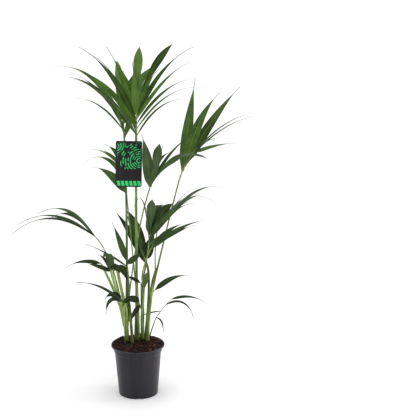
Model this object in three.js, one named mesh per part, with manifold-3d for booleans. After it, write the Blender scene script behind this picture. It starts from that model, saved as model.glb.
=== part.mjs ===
// A kentia palm in its round nursery pot: five cane-like stems and a sprout, a petiole for each frond,
// feathered fronds of long drooping leaflets, and a hang tag round the tallest petiole.
// Millimetres, +Z up. The origin is the middle of the pot's flat underside, and -Y is the front.

import * as THREE from 'three';
import { mergeVertices } from 'three/addons/utils/BufferGeometryUtils.js';
import Module from 'manifold-3d';

const wasm = await Module();
wasm.setup();

// ---- driving dimensions -------------------------------------------------------------------------

const POT = {
  height: 175,
  rimRadius: 90,
  footRadius: 65.7,
  wall: 2.2,
  floor: 3,
  lip: 3.4,
  lipHeight: 5.5,
  flare: 4.5,
  collarRadius: 80.8,
  collarHeight: 25,
  collarStep: 2.5,
  footRound: 2.5,
  notches: 4,
  notchWidth: 20,
  notchHeight: 8,
  notchDepth: 12,
  segments: 40,
};
// The soil is heaped by `heap` over the rim, is level out to `level` and falls away to `edge` under
// the rim where it meets the lip. Whatever stands on it or beside another piece keeps GAP.
const SOIL = { heap: 3, level: 68, edge: 1.5 };
const SOIL_TOP = POT.height + SOIL.heap;
const GAP = 0.3;

const TAG = { width: 85, height: 152, thickness: 0.9, corner: 6, centre: [-21, -34, 804], turn: 1.5 };
const STRAP = { ring: 10, thickness: 1.3, below: 14, across: 3.2 };

// A stem rises from the soil at `root` to its fork at `fork`; its radii run from root to fork.
const STEMS = {
  left: { root: [-37, 12], fork: [-48, 8, 306], radii: [6.2, 11.6] },
  left_inner: { root: [-19, -8], fork: [-32, 31, 324], radii: [3.8, 6.2] },
  middle: { root: [-2, 33], fork: [1, 28, 341], radii: [9.1, 7.6] },
  right_inner: { root: [16, 36], fork: [19, 30, 369], radii: [5, 7] },
  right: { root: [32, 15], fork: [65, 32, 425], radii: [6.4, 7.6] },
};

// A frond stands on the fork of its `stem`, `seat` millimetres off its middle, or on the soil at `root`.
// `foot` is where its petiole ends and its rachis of `rachis` millimetres begins, which leans by `lean`
// degrees from upright toward the compass direction `toward` (0 is +X, 90 is +Y). `stalk` holds the
// petiole's radii, and `spring` the share of its length over which it swings into line with the rachis.
// The blade's upper side looks in the direction `face`, and its halves are folded back by `fold`
// degrees. Leaflets are listed from foot to tip: `fan` holds their angles off the rachis, to its right
// where positive, `reach` their lengths, `width` their widths and `droop` how far each bends down. The
// last share `tail` of each is a thread. Those numbered in `blunt` have no thread and are widest near
// the tip. Where a leaflet arches over, its upper side turns to the sky, tilted toward the compass
// direction `light` where there is one.
const FRONDS = {
  top_front: {
    stem: 'middle', seat: [-2, -4.5], foot: [4, -20, 886], stalk: [4.6, 3.8], spring: 0.5,
    rachis: 112, lean: 7, toward: -82, face: -90, fold: -24, tail: 0.2, blunt: [12, 13],
    fan: [29, -30, -16, 31, -31, 30, -24, 28, 24, -3, -20, 19, 20, 1],
    reach: [266, 364, 295, 345, 315, 350, 320, 340, 308, 213, 236, 187, 242, 224],
    width: [6, 17, 15, 6, 18, 9, 19, 11, 15, 25, 27, 20, 22, 28],
    droop: [1.7, 0.85, 1.45, 1.05, 1.1, 1, 1.1, 0.7, 1.1, 1.15, 0.6, 0.65, 0.9, 1.1],
  },
  top_back: {
    stem: 'left_inner', seat: [-2.6, 1.4], foot: [-35, 60, 866], stalk: [4.4, 3.0], spring: 0.32,
    rachis: 125, lean: 12, toward: 101, face: -60, fold: 30, tail: 0.2,
    fan: [44, -15, -29, -23, 48, -35, -31, 39, 7, 31, 18],
    reach: [391, 160, 275, 388, 193, 238, 319, 289, 270, 171, 123],
    width: [20, 6, 8, 22, 24, 17, 18, 34, 35, 22, 14],
    droop: [0.2, 1.55, 1.65, 2.4, 0.6, 0.85, 1.4, 0.85, 2, 0.55, 0.55],
  },
  right_tall: {
    stem: 'right', seat: [3, 1], foot: [155, 80, 749], stalk: [2.9, 2.2], spring: 0.08,
    rachis: 92, lean: 29, toward: 18, face: -95, fold: 26, tail: 0.1,
    fan: [-21, -14, 3, 12, 21, 46, 28],
    reach: [333, 280, 324, 299, 295, 162, 136],
    width: [36, 33, 30, 5, 5, 24, 5],
    droop: [0.25, 1.25, 0.45, 1.05, 0.7, 0.45, 1],
  },
  middle: {
    stem: 'left_inner', seat: [3.6, 4.6], foot: [46, -60, 730], stalk: [2.4, 2.1], spring: 0.32,
    rachis: 25, lean: 22, toward: -37, face: -90, fold: -28, tail: 0.12, blunt: [1, 5],
    fan: [-24, 10, 9, -5, -7, -10],
    reach: [218, 299, 226, 159, 150, 162],
    width: [35, 29, 10, 19, 12, 28],
    droop: [1.25, 1.35, 0.85, 0.25, 2.15, 0.25],
  },
  behind_tag: {
    stem: 'middle', seat: [-2.5, 4], foot: [-30, 75, 678], stalk: [2.4, 1.8], spring: 0.16,
    rachis: 100, lean: 5, toward: 150, face: -90, fold: 30, tail: 0.2,
    fan: [-36, -15, 35, -21, -41, -24],
    reach: [189, 227, 89, 151, 191, 99],
    width: [30, 15, 14, 12, 9, 20],
    droop: [1.2, 3.4, 1.15, 1.9, 1.25, 1.3],
  },
  centre: {
    stem: 'right_inner', seat: [-3.5, -2], foot: [40, -70, 541], stalk: [3.2, 2.1], spring: 0.3,
    rachis: 40, lean: 7, toward: -16, face: -90, fold: -5, tail: 0.15, blunt: [2, 5],
    fan: [58, -10, 11, 24, -1, -5],
    reach: [167, 280, 145, 205, 171, 133],
    width: [26, 5, 27, 23, 36, 29],
    droop: [0.2, 2.95, 1.45, 1, 4.35, 1.2],
  },
  centre_low: {
    stem: 'right_inner', seat: [3.8, -2.6], foot: [44, -115, 537], stalk: [3.2, 1.6], spring: 0.44,
    rachis: 20, lean: 24, toward: -6, face: -100, fold: 0,
    fan: [24, 16],
    reach: [198, 129],
    width: [17, 15],
    droop: [0.65, 0.65],
  },
  right_spray: {
    stem: 'right', seat: [-3, -1], foot: [81, -26, 606], stalk: [2.2, 1.8], spring: 0.2,
    rachis: 60, lean: 38, toward: 0, face: 180, fold: 0, tail: 0.3,
    fan: [-47, 23, 20, 29, -21],
    reach: [346, 208, 104, 189, 231],
    width: [35, 7, 8, 16, 30],
    droop: [1.2, 1.35, 0.35, 0.7, 1.35],
  },
  core: {
    root: [25, 44], foot: [35, 70, 430], stalk: [3.9, 4.1], spring: 0.18,
    rachis: 50, lean: 20, toward: 155, face: -90, fold: 25,
    fan: [-8, 36, 7, 2],
    reach: [207, 92, 182, 138],
    width: [27, 36, 35, 27],
    droop: [0.5, 0.7, 1.3, 0.5],
  },
  core_left: {
    stem: 'left_inner', seat: [3.8, -3.6], foot: [-30, -50, 458], stalk: [2.8, 2.2], spring: 0.4,
    rachis: 25, lean: 5, toward: 182, face: -90, fold: -10, tail: 0.12,
    fan: [-48, 52, -13],
    reach: [158, 75, 138],
    width: [7, 20, 20],
    droop: [0.35, 0.25, 0.25],
  },
  left_arch: {
    stem: 'left', seat: [-4, 7.4], foot: [-131, 30, 538], stalk: [2.8, 1.9], spring: 0.34,
    rachis: 16, lean: 38, toward: 187, face: 6, fold: 0, light: -90, tail: 0.25,
    fan: [4, -6, -14, 6],
    reach: [284, 244, 318, 190],
    width: [14, 26, 14, 28],
    droop: [1.5, 1.85, 1.5, 2.3],
  },
  left_low: {
    stem: 'left', seat: [-8, 0], foot: [-113, -20, 456], stalk: [5.2, 3.7],
    rachis: 12, lean: 25, toward: 179, face: -90, fold: 0, light: -90, tail: 0.18,
    fan: [-49],
    reach: [120],
    width: [15],
    droop: [0.95],
  },
  left_droop: {
    stem: 'left', seat: [0, -8], foot: [-82, -60, 444], stalk: [4.6, 4.8], spring: 0.24,
    rachis: 15, lean: 16, toward: -118, face: -90, fold: 0, light: -90,
    fan: [-11, -49, 5, 39],
    reach: [79, 86, 110, 49],
    width: [12, 14, 25, 26],
    droop: [1.2, 0.25, 4.35, 3.3],
  },
  left_pale: {
    stem: 'left', seat: [8, -2], foot: [-65, 12, 433], stalk: [4.9, 5.1], spring: 0.54,
    rachis: 12, lean: 10, toward: 178, face: -90, fold: 0, light: -90,
    fan: [105],
    reach: [70],
    width: [26],
    droop: [3.4],
  },
  left_sprig: {
    root: [-43, -2], foot: [-44, -54, 338], stalk: [2.2, 1.5], spring: 0.08,
    rachis: 15, lean: 40, toward: 189, face: -90, fold: 0, light: -90, tail: 0.15,
    fan: [-5, -3, 8],
    reach: [104, 182, 72],
    width: [16, 9, 22],
    droop: [4.8, 0.85, 3.1],
  },
  low_arch: {
    root: [5, 18], foot: [10, -18, 314], stalk: [2.4, 1.5],
    rachis: 14, lean: 14, toward: 166, face: -90, fold: 0, light: -90, tail: 0.1,
    fan: [-126, -29],
    reach: [74, 80],
    width: [17, 23],
    droop: [1, 3.15],
  },
  sprout: {
    root: [39, 48], foot: [62, 50, 246], stalk: [2.1, 1.4], spring: 0.08,
    rachis: 90, lean: 32, toward: -11, face: -125, fold: 0, light: -90, tail: 0.12,
    fan: [65, -132, 22, 36],
    reach: [62, 97, 129, 136],
    width: [6, 5, 8, 10],
    droop: [4.7, 0.55, 2.85, 0.85],
  },
  leaf_right: {
    foot: [56.6, 26.9, 352],
    rachis: 6, lean: 42, toward: 2, face: -90, fold: 0, tail: 0.1,
    fan: [5],
    reach: [140],
    width: [19],
    droop: [1.1],
  },
  leaf_core: {
    root: [11, 20], foot: [13, 0, 382], stalk: [2, 1.4], spring: 0.52,
    rachis: 8, lean: 10, toward: 185, face: -90, fold: 0, tail: 0.1,
    fan: [-40],
    reach: [78],
    width: [13],
    droop: [1.1],
  },
  young_spear: {
    root: [21, 20], foot: [20, -77, 372], stalk: [2.4, 2.1], spring: 0.5,
    rachis: 10, lean: 14, toward: -69, face: -90, fold: 0, blunt: [0],
    fan: [3],
    reach: [80],
    width: [19],
    droop: [0.3],
  },
};

const STALK_SIDES = 6;
const STALK_STEPS = 8;
const RACHIS_STEPS = 5;
const RACHIS_DROOP = 0.35;
const RACHIS_SIDES = 6;
const RACHIS_RADIUS = 1.6;
const STALK_SPRING = 0.4;
const STEM_SIDES = 10;
const STEM_STEPS = 6;
const LEAFLET_STEPS = 6;
const LEAFLET_SIDES = 4;
const LEAFLET_MIN = { halfWidth: 1.6, halfThickness: 0.9, slenderness: 180 };
const RUFFLE = 0.15;
const TIP_HEAVY = 1.35;
const FIRST_LEAFLET = 4;
// A leaflet's outline is widest where its swell reaches one half.
const SWELL = { pointed: 0.8, blunt: 2.2 };
const LIGHT_TILT = 40;
// A leaflet that heads this nearly to where its blade faces bends over its back instead of twisting.
const FORWARD = 0.8;

const COLOURS = {
  pot: 0x39373a,
  soil: 0x3d2418,
  stem: 0x7c9a48,
  stalk: 0x86a352,
  leaf: 0x3f6b2c,
  tag: 0x17181a,
};

// ---- directions and courses ---------------------------------------------------------------------

const UP = new THREE.Vector3(0, 0, 1);
const radians = THREE.MathUtils.degToRad;

function aim(lean, toward) {
  const out = Math.sin(radians(lean));
  return new THREE.Vector3(
    out * Math.cos(radians(toward)),
    out * Math.sin(radians(toward)),
    Math.cos(radians(lean)),
  );
}

// The direction that a blade takes at the fraction u of its length: it keeps its compass direction
// and bends down in proportion to how far it already leans, so that an upright one stays upright.
function bend(direction, droop, u) {
  const lean = Math.acos(THREE.MathUtils.clamp(direction.z, -1, 1));
  const bent = 2 * Math.atan(Math.tan(lean / 2) * Math.exp(droop * u ** TIP_HEAVY));
  const flat = new THREE.Vector3(direction.x, direction.y, 0).normalize();
  return flat.multiplyScalar(Math.sin(bent)).addScaledVector(UP, Math.cos(bent));
}

function course(start, direction, length, droop, steps) {
  const stations = [{ point: start.clone(), direction: direction.clone(), u: 0 }];
  for (let step = 1; step <= steps; step += 1) {
    const last = stations[step - 1].point;
    const midway = bend(direction, droop, (step - 0.5) / steps);
    const point = last.clone().addScaledVector(midway, length / steps);
    stations.push({ point, direction: bend(direction, droop, step / steps), u: step / steps });
  }
  return stations;
}

// ---- closed forms -------------------------------------------------------------------------------

// Rings of equally many points become a closed skin with a flat cap at each end. A ring shrunk to
// one point makes a sharp tip. A blade's underside is split along the same diagonals as its upper
// side, so that the two stay apart where it twists.
function skin(rings, blade = false) {
  const positions = rings.flat().flatMap((point) => point.toArray());
  const sides = rings[0].length;
  const index = [];
  for (let row = 0; row + 1 < rings.length; row += 1) {
    const sharp = rings[row + 1].length === 1;
    for (let side = 0; side < sides; side += 1) {
      const a = row * sides + side;
      const b = row * sides + ((side + 1) % sides);
      if (sharp) index.push(a, b, (row + 1) * sides);
      else if (blade && side >= sides / 2) index.push(a, b, a + sides, b, b + sides, a + sides);
      else index.push(a, b, b + sides, a, b + sides, a + sides);
    }
  }
  const last = (rings.length - 1) * sides;
  const open = rings[rings.length - 1].length === 1 ? [0] : [0, last];
  for (const first of open) {
    for (let side = 1; side + 1 < sides; side += 1) {
      if (first === 0) index.push(0, side + 1, side);
      else index.push(first, first + side, first + side + 1);
    }
  }
  const geometry = new THREE.BufferGeometry();
  geometry.setAttribute('position', new THREE.Float32BufferAttribute(positions, 3));
  geometry.setIndex(index);
  return geometry;
}

function ring(centre, across, upward, halfWidth, halfHeight, sides) {
  return Array.from({ length: sides }, (_, side) => {
    const angle = (2 * Math.PI * side) / sides;
    return centre.clone()
      .addScaledVector(across, halfWidth * Math.cos(angle))
      .addScaledVector(upward, halfHeight * Math.sin(angle));
  });
}

function solid(geometry) {
  geometry.deleteAttribute('normal');
  geometry.deleteAttribute('uv');
  const merged = mergeVertices(geometry, 1e-4);
  return new wasm.Manifold(new wasm.Mesh({
    numProp: 3,
    vertProperties: new Float32Array(merged.attributes.position.array),
    triVerts: new Uint32Array(merged.index.array),
  }));
}

function surface(manifold) {
  const mesh = manifold.getMesh();
  const geometry = new THREE.BufferGeometry();
  geometry.setAttribute('position', new THREE.BufferAttribute(new Float32Array(mesh.vertProperties), 3));
  geometry.setIndex(new THREE.BufferAttribute(new Uint32Array(mesh.triVerts), 1));
  return geometry;
}

function fuse(geometries) {
  const [first, ...rest] = geometries.map(solid);
  return surface(rest.reduce((whole, piece) => whole.add(piece), first));
}

// ---- pot and soil -------------------------------------------------------------------------------

const COLLAR_FOOT = POT.height - POT.collarHeight;
const LIP_FOOT = POT.height - POT.lipHeight;

// The outer radius of the wall below the collar.
function wallRadius(z) {
  return THREE.MathUtils.lerp(POT.footRadius, POT.collarRadius - POT.collarStep, z / COLLAR_FOOT);
}

function revolve(profile) {
  const points = profile.map(([radius, z]) => new THREE.Vector2(radius, z));
  const geometry = new THREE.LatheGeometry(points, POT.segments);
  return geometry.rotateX(Math.PI / 2);
}

function potBody() {
  const { height, wall, rimRadius, lip, flare, collarRadius, footRound, floor } = POT;
  return revolve([
    [0, 0],
    [POT.footRadius - footRound, 0],
    [wallRadius(footRound), footRound],
    [wallRadius(COLLAR_FOOT), COLLAR_FOOT],
    [collarRadius, COLLAR_FOOT + wall],
    [collarRadius, LIP_FOOT - flare],
    [rimRadius - 1, LIP_FOOT - 1],
    [rimRadius, LIP_FOOT],
    [rimRadius, height - 1.2],
    [rimRadius - 1.2, height],
    [rimRadius - lip + 1, height],
    [rimRadius - lip, height - 1],
    [rimRadius - lip, LIP_FOOT + 1],
    [collarRadius - wall, LIP_FOOT - flare + 1],
    [collarRadius - wall, COLLAR_FOOT + wall],
    [wallRadius(COLLAR_FOOT) - wall, COLLAR_FOOT],
    [wallRadius(floor) - wall, floor],
    [0, floor],
  ]);
}

function potNotches() {
  return Array.from({ length: POT.notches }, (_, notch) => {
    const box = new THREE.BoxGeometry(POT.notchDepth * 2, POT.notchWidth, POT.notchHeight * 2);
    box.translate(POT.footRadius, 0, 0);
    return box.rotateZ(-Math.PI / 2 + (2 * Math.PI * notch) / POT.notches);
  });
}

function pot() {
  const cut = potNotches().map(solid);
  return surface(cut.reduce((body, notch) => body.subtract(notch), solid(potBody())));
}

function soil() {
  const inner = (z) => wallRadius(z) - POT.wall - GAP;
  const foot = POT.floor + GAP;
  const collar = POT.collarRadius - POT.wall - 2 * GAP;
  const lip = POT.rimRadius - POT.lip - 2 * GAP;
  return revolve([
    [0, foot],
    [inner(foot), foot],
    [inner(COLLAR_FOOT), COLLAR_FOOT],
    [collar, COLLAR_FOOT + 2 * POT.wall],
    [collar, LIP_FOOT - POT.flare + 1],
    [lip, LIP_FOOT + 1.5],
    [lip, POT.height - SOIL.edge],
    [SOIL.level, SOIL_TOP],
    [0, SOIL_TOP],
  ]);
}

// ---- stems, petioles and fronds -----------------------------------------------------------------

function limb(curve, radii, sides, steps) {
  const across = new THREE.Vector3(1, 0, 0);
  const upward = new THREE.Vector3(0, 1, 0);
  const rings = Array.from({ length: steps + 1 }, (_, step) => {
    const radius = THREE.MathUtils.lerp(radii[0], radii[1], step / steps);
    return ring(curve.getPoint(step / steps), across, upward, radius, radius, sides);
  });
  return skin(rings);
}

function stem({ root, fork, radii }) {
  const from = new THREE.Vector3(root[0], root[1], SOIL_TOP + GAP);
  const to = new THREE.Vector3(...fork);
  const rise = new THREE.Vector3(from.x, from.y, (from.z + to.z) / 2);
  return limb(new THREE.QuadraticBezierCurve3(from, rise, to), radii, STEM_SIDES, STEM_STEPS);
}

function rachisOf(frond) {
  const start = new THREE.Vector3(...frond.foot);
  return course(start, aim(frond.lean, frond.toward), frond.rachis, RACHIS_DROOP, RACHIS_STEPS);
}

// The petiole leaves the fork upright and arrives at the foot in line with the rachis.
function stalk(frond) {
  const foot = new THREE.Vector3(...frond.foot);
  const base = new THREE.Vector3(...(frond.root ?? STEMS[frond.stem].fork));
  if (frond.root) base.z = SOIL_TOP;
  else base.add(new THREE.Vector3(frond.seat[0], frond.seat[1], 0));
  base.z += GAP;
  const line = aim(frond.lean, frond.toward);
  const spring = frond.spring ?? STALK_SPRING;
  const control = foot.clone().addScaledVector(line, -spring * foot.distanceTo(base));
  foot.addScaledVector(line, -GAP);
  const curve = new THREE.QuadraticBezierCurve3(base, control, foot);
  return limb(curve, frond.stalk, STALK_SIDES, STALK_STEPS);
}

// Neighbouring leaflets stand a little out of the blade's plane, to the front and the back in turn.
function leaflets(frond) {
  const spine = rachisOf(frond);
  const start = aim(frond.lean, frond.toward);
  const look = aim(90, frond.face);
  const normal = look.addScaledVector(start, -look.dot(start)).normalize();
  const aside = start.clone().cross(normal);
  const sky = frond.light ? aim(LIGHT_TILT, frond.light) : UP;
  return frond.fan.map((angle, number) => {
    const blunt = frond.blunt?.includes(number);
    const order = frond.fan.length > 1 ? number / (frond.fan.length - 1) : 1;
    const along = THREE.MathUtils.lerp(FIRST_LEAFLET / frond.rachis, 1, order) * RACHIS_STEPS;
    const below = Math.min(Math.floor(along), RACHIS_STEPS - 1);
    const root = spine[below].point.clone().lerp(spine[below + 1].point, along - below);
    const out = Math.sin(radians(angle));
    const fold = radians(frond.fold);
    const ruffle = frond.fan.length > 1 ? RUFFLE * (number % 2 ? 1 : -1) : 0;
    const direction = start.clone().multiplyScalar(Math.cos(radians(angle)))
      .addScaledVector(aside, out * Math.cos(fold))
      .addScaledVector(normal, ruffle - Math.abs(out) * Math.sin(fold))
      .normalize();
    const heading = direction.clone().setZ(0).normalize();
    return {
      stations: course(root, direction, frond.reach[number], frond.droop[number], LEAFLET_STEPS),
      width: frond.width[number],
      swelling: blunt ? SWELL.blunt : SWELL.pointed,
      tail: blunt ? 0 : frond.tail ?? 0,
      front: heading.dot(normal) > FORWARD ? normal.clone().negate() : normal,
      sky,
    };
  });
}

// A leaflet is narrow at its root, widest near its middle and drawn out to a point. An upright one
// shows its blade's upper side, and where it bends over its upper side turns to the sky.
function leaflet({ stations, width, swelling, tail, front, sky }) {
  const { halfWidth, halfThickness, slenderness } = LEAFLET_MIN;
  const length = stations[0].point.distanceTo(stations[1].point) * LEAFLET_STEPS;
  const thick = Math.max(length / slenderness, halfThickness);
  const rings = stations.slice(0, -1).map(({ point, direction, u }) => {
    const upper = front.clone().lerp(sky, 1 - Math.max(direction.z, 0));
    const across = direction.clone().cross(upper).normalize();
    const along = Math.min(u / (1 - tail), 1);
    const swell = Math.sin(Math.PI * (0.1 + 0.9 * along) ** swelling);
    const half = Math.max(0.5 * width * swell, halfWidth);
    return ring(point, across, direction.clone().cross(across), half, thick, LEAFLET_SIDES);
  });
  rings.push([stations[LEAFLET_STEPS].point]);
  return skin(rings, true);
}

function frondBlade(frond) {
  const thick = frond.stalk?.[1] ?? RACHIS_RADIUS;
  const across = new THREE.Vector3(1, 0, 0);
  const upward = new THREE.Vector3(0, 1, 0);
  const rings = rachisOf(frond).map(({ point, u }) => {
    const radius = thick * THREE.MathUtils.lerp(1, 0.5, u);
    return ring(point, across, upward, radius, radius, RACHIS_SIDES);
  });
  return fuse([skin(rings), ...leaflets(frond).map(leaflet)]);
}

// ---- tag ----------------------------------------------------------------------------------------

function tagCard() {
  const { width, height, corner, thickness } = TAG;
  const [right, top] = [width / 2, height / 2];
  const outline = new THREE.Shape();
  outline.moveTo(-right + corner, -top);
  outline.absarc(right - corner, -top + corner, corner, -Math.PI / 2, 0);
  outline.absarc(right - corner, top - corner, corner, 0, Math.PI / 2);
  outline.absarc(-right + corner, top - corner, corner, Math.PI / 2, Math.PI);
  outline.absarc(-right + corner, -top + corner, corner, Math.PI, 1.5 * Math.PI);
  const options = { depth: thickness, bevelEnabled: false, curveSegments: 4 };
  const card = new THREE.ExtrudeGeometry(outline, options);
  card.rotateX(Math.PI / 2);
  card.rotateY(radians(TAG.turn));
  return card.translate(...TAG.centre);
}

// A moulded loop round the tallest petiole, just behind the card.
function tagStrap() {
  const loop = new THREE.TorusGeometry(STRAP.ring, STRAP.thickness, 6, 20);
  const [, cardBack, middle] = TAG.centre;
  const behind = cardBack + GAP + STRAP.ring + STRAP.thickness;
  return loop.translate(STRAP.across, behind, middle + TAG.height / 2 - STRAP.below);
}

// ---- the plant ----------------------------------------------------------------------------------

const palm = new THREE.Group();
palm.name = 'kentia_palm';

function material(colour, roughness) {
  return new THREE.MeshStandardMaterial({ color: colour, roughness, metalness: 0 });
}

function addPart(name, geometry, look) {
  const mesh = new THREE.Mesh(geometry, look);
  mesh.name = name;
  palm.add(mesh);
}

const looks = {
  pot: material(COLOURS.pot, 0.5),
  soil: material(COLOURS.soil, 0.95),
  stem: material(COLOURS.stem, 0.55),
  stalk: material(COLOURS.stalk, 0.5),
  leaf: material(COLOURS.leaf, 0.45),
  tag: material(COLOURS.tag, 0.35),
};

addPart('pot', pot(), looks.pot);
addPart('soil', soil(), looks.soil);
for (const [name, shape] of Object.entries(STEMS)) addPart(`stem_${name}`, stem(shape), looks.stem);
for (const [name, frond] of Object.entries(FRONDS)) {
  if (frond.stalk) addPart(`stalk_${name}`, stalk(frond), looks.stalk);
  addPart(`frond_${name}`, frondBlade(frond), looks.leaf);
}
addPart('tag_card', tagCard(), looks.tag);
addPart('tag_strap', tagStrap(), looks.tag);

export default palm;
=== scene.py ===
# %% [markdown]
# # A kentia palm in its nursery pot
# Several young palms share one pot. Each is a slender cane of rolled leaf sheaths that opens into
# long petioles, and each petiole carries one feathered frond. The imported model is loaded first: its
# plain solids say where every piece goes, and each of them is then replaced by a finer piece.

# %% The frame
import math

import bpy
import numpy as np
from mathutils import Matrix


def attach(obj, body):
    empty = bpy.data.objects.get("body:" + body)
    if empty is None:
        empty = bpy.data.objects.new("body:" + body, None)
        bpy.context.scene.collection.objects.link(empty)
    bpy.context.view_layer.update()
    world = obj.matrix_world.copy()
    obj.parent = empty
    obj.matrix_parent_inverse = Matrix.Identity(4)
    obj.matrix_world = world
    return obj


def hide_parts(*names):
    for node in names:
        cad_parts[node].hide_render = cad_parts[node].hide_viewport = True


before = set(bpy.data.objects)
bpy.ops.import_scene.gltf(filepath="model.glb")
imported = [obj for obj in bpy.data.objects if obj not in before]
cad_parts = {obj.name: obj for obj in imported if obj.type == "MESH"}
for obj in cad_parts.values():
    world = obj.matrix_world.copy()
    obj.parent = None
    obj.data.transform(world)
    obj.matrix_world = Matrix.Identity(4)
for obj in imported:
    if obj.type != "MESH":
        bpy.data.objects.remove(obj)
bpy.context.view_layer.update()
MM = 0.001
rng = np.random.default_rng(7)
print("CAD nodes:", len(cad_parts))

# %% [markdown]
# The camera stands about four metres away at eye height and looks down a little, so the rim of the
# pot shows as an ellipse. A long lens keeps the verticals almost parallel. The pot stands left of
# the middle, which a small turn of the camera gives, so the lens needs no shift.

# %% Camera
FRAME_PIXELS = 416
FOCAL_PIXELS = 1306
SENSOR = 36.0
EYE = (0.001, -4.160, 1.726)
LOOK_DOWN = math.radians(14.55)
LOOK_RIGHT = math.radians(3.25)
bpy.ops.object.camera_add(
    location=EYE, rotation=(math.pi / 2 - LOOK_DOWN, 0, -LOOK_RIGHT))
camera = bpy.context.object
camera.data.sensor_width = SENSOR
camera.data.lens = SENSOR * FOCAL_PIXELS / FRAME_PIXELS
bpy.context.scene.camera = camera
print(f"lens {camera.data.lens:.1f} mm")

# %% [markdown]
# Shader maths is easier to read as arithmetic than as a web of nodes. This class wraps one output
# socket. Adding or multiplying wires adds the Math node that does it, and any other node comes from
# the one method `node`.

# %% Shader arithmetic
class Wire:
    """One output socket of a node tree."""

    def __init__(self, tree, socket=None):
        self.tree = tree
        self.socket = socket

    def node(self, kind, settings=None, sockets=None, out=0):
        made = self.tree.nodes.new("ShaderNode" + kind)
        for name, value in (settings or {}).items():
            setattr(made, name, value)
        for name, value in (sockets or {}).items():
            if isinstance(value, Wire):
                self.tree.links.new(value.socket, made.inputs[name])
            else:
                made.inputs[name].default_value = value
        return Wire(self.tree, made.outputs[out])

    def math(self, operation, *others):
        return self.node("Math", {"operation": operation}, dict(enumerate((self, *others))))

    def reflected(self, operation, first):
        return self.node("Math", {"operation": operation}, {0: first, 1: self})

    def __add__(self, other):
        return self.math("ADD", other)

    __radd__ = __add__

    def __sub__(self, other):
        return self.math("SUBTRACT", other)

    def __rsub__(self, other):
        return self.reflected("SUBTRACT", other)

    def __mul__(self, other):
        return self.math("MULTIPLY", other)

    __rmul__ = __mul__

    def __truediv__(self, other):
        return self.math("DIVIDE", other)

    def __lt__(self, other):
        return self.math("LESS_THAN", other)

    def __gt__(self, other):
        return self.math("GREATER_THAN", other)

    def size(self):
        return self.math("ABSOLUTE")

    def ramp(self, low, high):
        """0 below `low`, 1 above `high`, and smooth between them."""
        settings = {"interpolation_type": "SMOOTHSTEP"}
        return self.node("MapRange", settings, {"Value": self, "From Min": low, "From Max": high})

    def between(self, first, second):
        """The colour `first` where this wire is 0 and `second` where it is 1."""
        settings = {"data_type": "RGBA"}
        return self.node("Mix", settings, {"Factor": self, 6: colour(first), 7: colour(second)}, out=2)


def colour(value):
    return value if isinstance(value, Wire) else (*value, 1)


def srgb(red, green, blue):
    """Screen values from 0 to 255 as the linear colour that a shader wants."""
    scaled = [channel / 255 for channel in (red, green, blue)]
    return tuple(c / 12.92 if c <= 0.04045 else ((c + 0.055) / 1.055) ** 2.4 for c in scaled)


# %% A material and its coordinates
def start_material(name, roughness=0.5, **constants):
    material = bpy.data.materials.new(name)
    material.use_nodes = True
    shader = material.node_tree.nodes["Principled BSDF"]
    shader.inputs["Roughness"].default_value = roughness
    for socket, value in constants.items():
        shader.inputs[socket.replace("_", " ")].default_value = value
    return material, Wire(material.node_tree), shader


def feed(wire, shader, socket):
    wire.tree.links.new(wire.socket, shader.inputs[socket])


def bump(height, shader, strength, distance):
    sockets = {"Height": height, "Strength": strength, "Distance": distance}
    feed(height.node("Bump", {}, sockets), shader, "Normal")


def place(wire):
    return wire.node("TexCoord", out=3)


def on_blade(wire):
    """Across and along a blade or a cane, each from 0 to 1."""
    uv = wire.node("TexCoord", out=2)
    parts = uv.node("SeparateXYZ", {}, {0: uv})
    return parts, Wire(parts.tree, parts.socket.node.outputs[1])


def noise(coordinates, scale, detail=2.0, roughness=0.5):
    sockets = {"Vector": coordinates, "Scale": scale, "Detail": detail, "Roughness": roughness}
    return coordinates.node("TexNoise", {}, sockets)


def stretched(coordinates, x, y, z):
    return coordinates.node("Mapping", {}, {"Vector": coordinates, "Scale": (x, y, z)})


# %% [markdown]
# The floor is one large pale sheet, so that no horizon shows in the view, and the light is what a
# product studio gives: a bright room all round, a very wide soft light almost overhead, and a small
# soft box standing low on the right, which draws a quiet upright gleam on the pot.

# %% Floor and light
FLOOR_SIZE = 80
ROOM_STRENGTH = 0.82
OVERHEAD = (-0.2, -0.3, 4.6)
OVERHEAD_STRENGTH = 1.0
OVERHEAD_SPREAD = math.radians(70)
SIDE = (1.2, 0.1, 0.25)
SIDE_WATTS = 6
bpy.ops.object.select_all(action="DESELECT")
bpy.ops.mesh.primitive_plane_add(size=FLOOR_SIZE, location=(0, 12, 0))
floor = bpy.context.object
floor.name = "floor"
floor_look, wire, shader = start_material("studio floor", roughness=0.9, Specular_IOR_Level=0.1)
feed(noise(place(wire), 0.6).between((0.95, 0.95, 0.95), (0.97, 0.97, 0.97)), shader, "Base Color")
floor.data.materials.append(floor_look)

world = bpy.data.worlds.new("studio room")
world.use_nodes = True
room = world.node_tree.nodes["Background"].inputs
room["Color"].default_value = (1.0, 1.0, 1.0, 1)
room["Strength"].default_value = ROOM_STRENGTH
bpy.context.scene.world = world
bpy.context.scene.view_settings.view_transform = "Standard"


def look_at(place_at, aim_at):
    """The turn that points a lamp from one place at another."""
    look = np.array(aim_at) - np.array(place_at)
    down = math.acos(-look[2] / np.linalg.norm(look))
    return (down, 0, math.atan2(look[1], look[0]) - math.pi / 2)


bpy.ops.object.light_add(type="SUN", location=OVERHEAD, rotation=look_at(OVERHEAD, (0, 0, 0.6)))
overhead = bpy.context.object
overhead.name = "wide light above"
overhead.data.energy = OVERHEAD_STRENGTH
overhead.data.angle = OVERHEAD_SPREAD

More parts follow.
